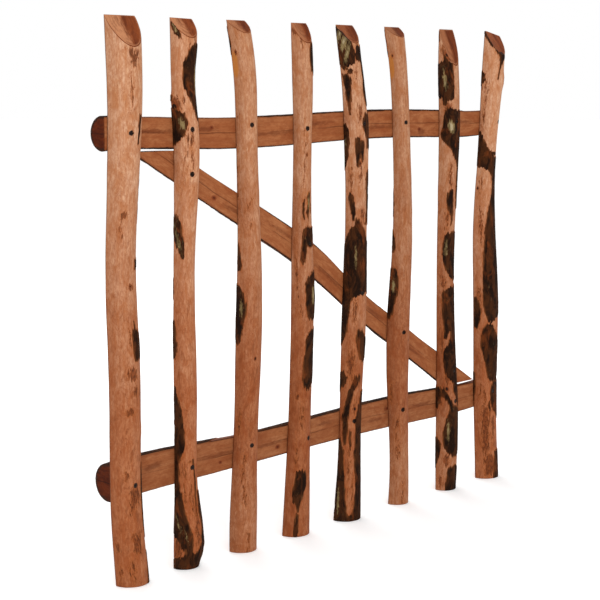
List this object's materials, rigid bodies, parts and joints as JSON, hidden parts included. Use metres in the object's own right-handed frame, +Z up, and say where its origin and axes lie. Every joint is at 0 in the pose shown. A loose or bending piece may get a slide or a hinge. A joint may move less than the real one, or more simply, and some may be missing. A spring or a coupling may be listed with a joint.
{
  "type": "garden gate",
  "caption": "Rustic garden gate leaf of crooked half-round pickets screwed to two split rails and a diagonal brace.",
  "frame": {"origin": "on the ground, at the middle of the leaf's width and depth", "axes": "+Z up, -Y the front with the round sides of the pickets, +X to the right seen from the front"},
  "size_m": [1.0192, 0.0719, 0.9],
  "materials": {
    "picket_wood": "matte",
    "rail_wood": "matte",
    "screw_steel": "satin"
  },
  "bodies": {
    "root": {"picket_1": "picket_wood", "picket_2": "picket_wood", "picket_3": "picket_wood", "picket_4": "picket_wood", "picket_5": "picket_wood", "picket_6": "picket_wood", "picket_7": "picket_wood", "picket_8": "picket_wood", "top_rail": "rail_wood", "bottom_rail": "rail_wood", "diagonal_brace": "rail_wood", "top_rail_screws": "screw_steel", "bottom_rail_screws": "screw_steel", "brace_screws": "screw_steel"}
  },
  "joints": []
}
